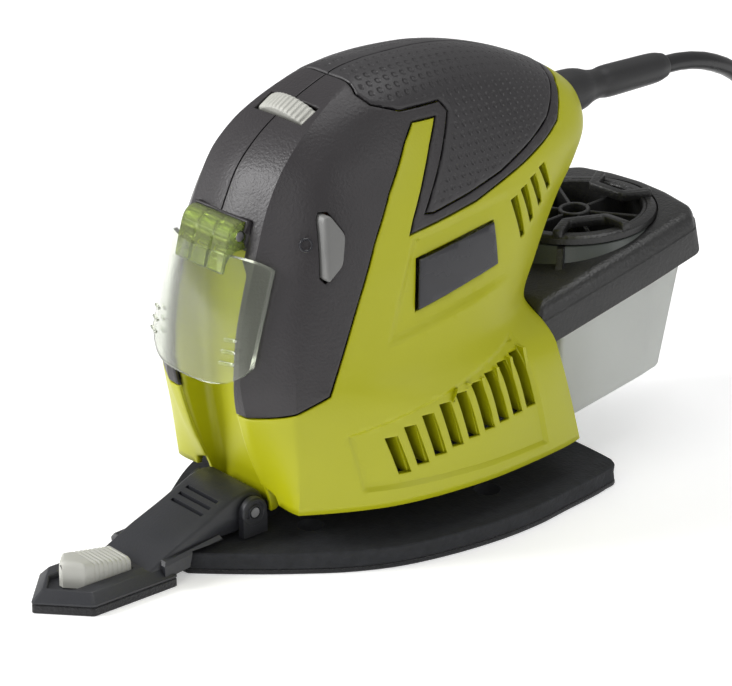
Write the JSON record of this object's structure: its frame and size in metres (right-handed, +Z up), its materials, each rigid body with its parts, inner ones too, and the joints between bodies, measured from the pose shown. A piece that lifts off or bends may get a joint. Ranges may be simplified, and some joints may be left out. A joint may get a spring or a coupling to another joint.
{
  "type": "orbital sander",
  "caption": "Corded palm sander with a delta orbital pad, fold-up detail finger, clear flip-up front guard, side switch, speed dial and slide-off dust box.",
  "frame": {"origin": "motor axis on the underside of the pad", "axes": "+Z up along the motor axis, -Y to the pad's nose and detail finger, +Y to the dust box, +X to the side with the switch's reset end"},
  "size_m": [0.1141, 0.4327, 0.1413],
  "materials": {
    "lime_plastic": "satin moulded",
    "black_plastic": "fine textured",
    "grip_rubber": "dimpled soft grip",
    "label": "smooth blank plate",
    "clear_plastic": "clear green tint",
    "grey_plastic": "satin",
    "circuit_board": "satin",
    "hook_fabric": "hook pile",
    "foam": "matt foam",
    "plate_plastic": "satin",
    "lid_plastic": "fine textured",
    "bin_plastic": "translucent smoke",
    "filter_paper": "pleated paper",
    "steel": "machined",
    "laminations": "stacked sheet",
    "copper": "wound wire",
    "brass": "satin",
    "carbon": "matt",
    "rubber": "matt",
    "cable": "satin"
  },
  "bodies": {
    "housing": {"housing_left": "lime_plastic", "housing_right": "lime_plastic", "front_cover_left": "black_plastic", "front_cover_right": "black_plastic", "switch_body": "black_plastic", "speed_control": "black_plastic", "cord_clamp": "black_plastic", "dust_duct": "black_plastic", "grip_left": "grip_rubber", "grip_right": "grip_rubber", "label_left": "label", "label_right": "label", "control_board": "circuit_board", "guard_pin": "steel", "lower_bearing": "steel", "upper_bearing": "steel", "housing_screw_1": "steel", "housing_screw_2": "steel", "housing_screw_3": "steel", "housing_screw_4": "steel", "housing_screw_5": "steel", "stator": "laminations", "winding_upper": "copper", "winding_lower": "copper", "brush_holder_left": "brass", "brush_holder_right": "brass", "plug_pin_left": "brass", "plug_pin_right": "brass", "brush_left": "carbon", "brush_right": "carbon", "post_front_left": "rubber", "post_front_right": "rubber", "post_rear_left": "rubber", "post_rear_right": "rubber", "cord_boot": "rubber", "plug": "rubber", "cord": "cable", "cord_coil": "cable", "cord_tail": "cable"},
    "rotor": {"armature": "laminations", "commutator": "copper", "fan": "black_plastic", "eccentric": "steel", "pad_screw": "steel"},
    "pad": {"base_plate": "plate_plastic", "foam_pad": "foam", "hook_face": "hook_fabric", "pad_bearing": "steel", "finger_pin": "steel"},
    "finger": {"finger_arm": "plate_plastic", "finger_pad": "hook_fabric"},
    "finger_latch": {"finger_latch": "grey_plastic"},
    "guard": {"guard": "clear_plastic"},
    "switch": {"switch_bar": "grey_plastic"},
    "dial": {"speed_dial": "grey_plastic"},
    "dust_box": {"dust_bin": "bin_plastic", "dust_lid": "lid_plastic", "filter_element": "filter_paper"},
    "filter_cap": {"filter_cap": "lid_plastic"}
  },
  "joints": [
    {"name": "motor_spin", "type": "hinge", "parent": "housing", "child": "rotor", "pos_m": [0, 0, 0.06], "axis": [0, 0, 1], "continuous": true},
    {"name": "pad_orbit", "type": "hinge", "parent": "rotor", "child": "pad", "pos_m": [0.0009, 0, 0.019], "axis": [0, 0, 1], "continuous": true},
    {"name": "finger_fold", "type": "hinge", "parent": "pad", "child": "finger", "pos_m": [0, -0.045, 0.015], "axis": [-1, 0, 0], "range_deg": [0, 62]},
    {"name": "latch_slide", "type": "slide", "parent": "finger", "child": "finger_latch", "axis": [0, -1, 0], "range_m": [0, 0.004]},
    {"name": "guard_flip", "type": "hinge", "parent": "housing", "child": "guard", "pos_m": [0, -0.0465, 0.1015], "axis": [-1, 0, 0], "range_deg": [0, 70]},
    {"name": "switch_slide", "type": "slide", "parent": "housing", "child": "switch", "axis": [-1, 0, 0], "range_m": [0, 0.004]},
    {"name": "dial_turn", "type": "hinge", "parent": "housing", "child": "dial", "pos_m": [0, -0.0138, 0.1209], "axis": [0, 0.8572, 0.515], "range_deg": [-135, 135]},
    {"name": "dust_box_slide", "type": "slide", "parent": "housing", "child": "dust_box", "axis": [0, 1, 0], "range_m": [0, 0.04]},
    {"name": "filter_cap_turn", "type": "hinge", "parent": "dust_box", "child": "filter_cap", "pos_m": [0, 0.098, 0.0648], "axis": [0, -0.0599, 0.9982], "range_deg": [0, 30]}
  ],
  "couplings": [
    {"joint": "pad_orbit", "follows": "motor_spin", "ratio": -1}
  ]
}
